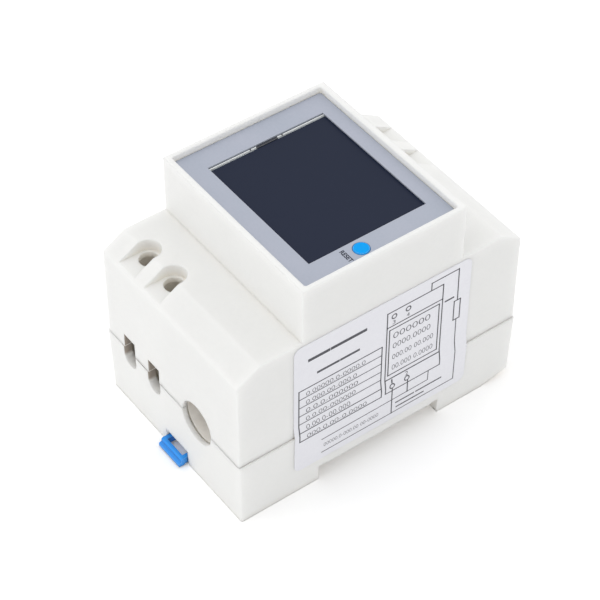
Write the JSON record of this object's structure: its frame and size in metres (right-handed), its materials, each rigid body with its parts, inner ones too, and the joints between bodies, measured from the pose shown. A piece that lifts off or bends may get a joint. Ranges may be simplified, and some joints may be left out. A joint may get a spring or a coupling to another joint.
{
  "type": "din rail energy meter",
  "caption": "Rail-mounted energy meter with a stepped housing, display, reset button, clamp terminals and a through hole for the measured cable.",
  "frame": {"origin": "middle of the rail seat, the ceiling of the channel in the back", "axes": "+X along the rail towards the label side, +Y towards the terminals without the clip, +Z out of the front"},
  "size_m": [0.0541, 0.0821, 0.0646],
  "materials": {
    "housing_plastic": "fine matt, off-white",
    "panel_plastic": "fine matt, grey-blue",
    "display_glass": "clear, polished",
    "polarizer_film": "satin, dark blue-grey",
    "inner_white_plastic": "matt white",
    "light_guide_acrylic": "clear gloss",
    "strip_rubber": "soft matt",
    "board_laminate": "green solder resist, satin",
    "black_plastic": "matt black",
    "button_plastic": "satin, bright blue",
    "clip_plastic": "satin, blue",
    "tube_plastic": "matt, light beige",
    "core_iron": "dark, matt",
    "winding_copper": "enamelled, satin",
    "capacitor_case": "gloss yellow",
    "can_aluminium": "satin",
    "varistor_coating": "dipped coating, blue",
    "resistor_coating": "dipped coating, grey-green",
    "screw_steel": "zinc plated, satin",
    "cage_steel": "zinc plated, satin",
    "contact_brass": "plated, satin",
    "label_film": "satin film, pale grey"
  },
  "bodies": {
    "housing": {"base_housing": "housing_plastic", "top_cover": "housing_plastic", "front_panel": "panel_plastic", "lcd_glass": "display_glass", "lcd_polarizer": "polarizer_film", "lcd_frame": "inner_white_plastic", "backlight_guide": "light_guide_acrylic", "contact_strip": "strip_rubber", "display_board": "board_laminate", "display_screws": "screw_steel", "display_driver_chip": "black_plastic", "reset_switch": "black_plastic", "ct_tube": "tube_plastic", "ct_core": "core_iron", "ct_winding": "winding_copper", "main_board": "board_laminate", "board_screws": "screw_steel", "dropper_capacitor": "capacitor_case", "filter_capacitor": "can_aluminium", "varistor": "varistor_coating", "fuse_resistor": "resistor_coating", "metering_chip": "black_plastic", "board_header": "black_plastic", "header_socket": "black_plastic", "rating_label": "label_film", "terminal_contact_1": "contact_brass", "terminal_contact_2": "contact_brass", "terminal_contact_3": "contact_brass", "terminal_contact_4": "contact_brass"},
    "reset_button": {"reset_button": "button_plastic", "switch_plunger": "black_plastic"},
    "din_clip": {"din_clip": "clip_plastic"},
    "screw_1": {"terminal_screw_1": "screw_steel"},
    "cage_1": {"terminal_cage_1": "cage_steel"},
    "screw_2": {"terminal_screw_2": "screw_steel"},
    "cage_2": {"terminal_cage_2": "cage_steel"},
    "screw_3": {"terminal_screw_3": "screw_steel"},
    "cage_3": {"terminal_cage_3": "cage_steel"},
    "screw_4": {"terminal_screw_4": "screw_steel"},
    "cage_4": {"terminal_cage_4": "cage_steel"}
  },
  "joints": [
    {"name": "reset_press", "type": "slide", "parent": "housing", "child": "reset_button", "axis": [0, 0, -1], "range_m": [0, 0.0004], "stiffness_N_per_m": 3000, "springref_m": -0.00015},
    {"name": "clip_slide", "type": "slide", "parent": "housing", "child": "din_clip", "axis": [0, -1, 0], "range_m": [0, 0.003]},
    {"name": "screw_1_turn", "type": "hinge", "parent": "housing", "child": "screw_1", "pos_m": [-0.0176, -0.0331, 0.03], "axis": [0, 0, -1], "range_deg": [0, 3600]},
    {"name": "cage_1_lift", "type": "slide", "parent": "housing", "child": "cage_1", "axis": [0, 0, 1], "range_m": [0, 0.007]},
    {"name": "screw_2_turn", "type": "hinge", "parent": "housing", "child": "screw_2", "pos_m": [-0.0075, -0.0331, 0.03], "axis": [0, 0, -1], "range_deg": [0, 3600]},
    {"name": "cage_2_lift", "type": "slide", "parent": "housing", "child": "cage_2", "axis": [0, 0, 1], "range_m": [0, 0.007]},
    {"name": "screw_3_turn", "type": "hinge", "parent": "housing", "child": "screw_3", "pos_m": [-0.0176, 0.0331, 0.03], "axis": [0, 0, -1], "range_deg": [0, 3600]},
    {"name": "cage_3_lift", "type": "slide", "parent": "housing", "child": "cage_3", "axis": [0, 0, 1], "range_m": [0, 0.007]},
    {"name": "screw_4_turn", "type": "hinge", "parent": "housing", "child": "screw_4", "pos_m": [-0.0075, 0.0331, 0.03], "axis": [0, 0, -1], "range_deg": [0, 3600]},
    {"name": "cage_4_lift", "type": "slide", "parent": "housing", "child": "cage_4", "axis": [0, 0, 1], "range_m": [0, 0.007]}
  ],
  "couplings": [
    {"joint": "screw_1_turn", "follows": "cage_1_lift", "rad_per_m": 8975.9},
    {"joint": "screw_2_turn", "follows": "cage_2_lift", "rad_per_m": 8975.9},
    {"joint": "screw_3_turn", "follows": "cage_3_lift", "rad_per_m": 8975.9},
    {"joint": "screw_4_turn", "follows": "cage_4_lift", "rad_per_m": 8975.9}
  ]
}
